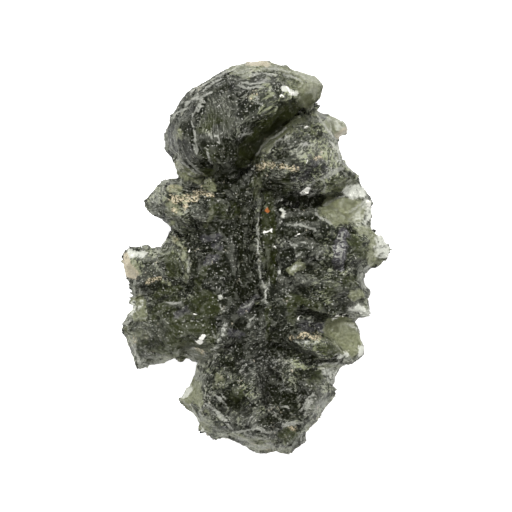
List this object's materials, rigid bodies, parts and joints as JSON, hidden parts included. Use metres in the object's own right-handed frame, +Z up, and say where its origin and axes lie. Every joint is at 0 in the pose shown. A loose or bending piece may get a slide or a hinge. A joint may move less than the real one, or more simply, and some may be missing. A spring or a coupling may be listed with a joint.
{
  "type": "moldavite stone",
  "caption": "Loose piece of natural green tektite glass: a deeply etched, lobed stone with a round head, ribbed wings and a bowl-like foot, lying on its back.",
  "frame": {"origin": "middle of the stone's box, on the surface that it lies on", "axes": "+Y along the stone to its round head, +X to the ribbed wing, +Z up from the surface that it lies on"},
  "size_m": [0.0274, 0.04, 0.0126],
  "materials": {
    "moldavite_glass": "natural bottle-green glass, acid-etched to a silky matt skin with glints on its crests, near black where thick, pale olive to clear at thin rims, tan soil left in its pits"
  },
  "bodies": {
    "root": {"moldavite": "moldavite_glass"}
  },
  "joints": []
}
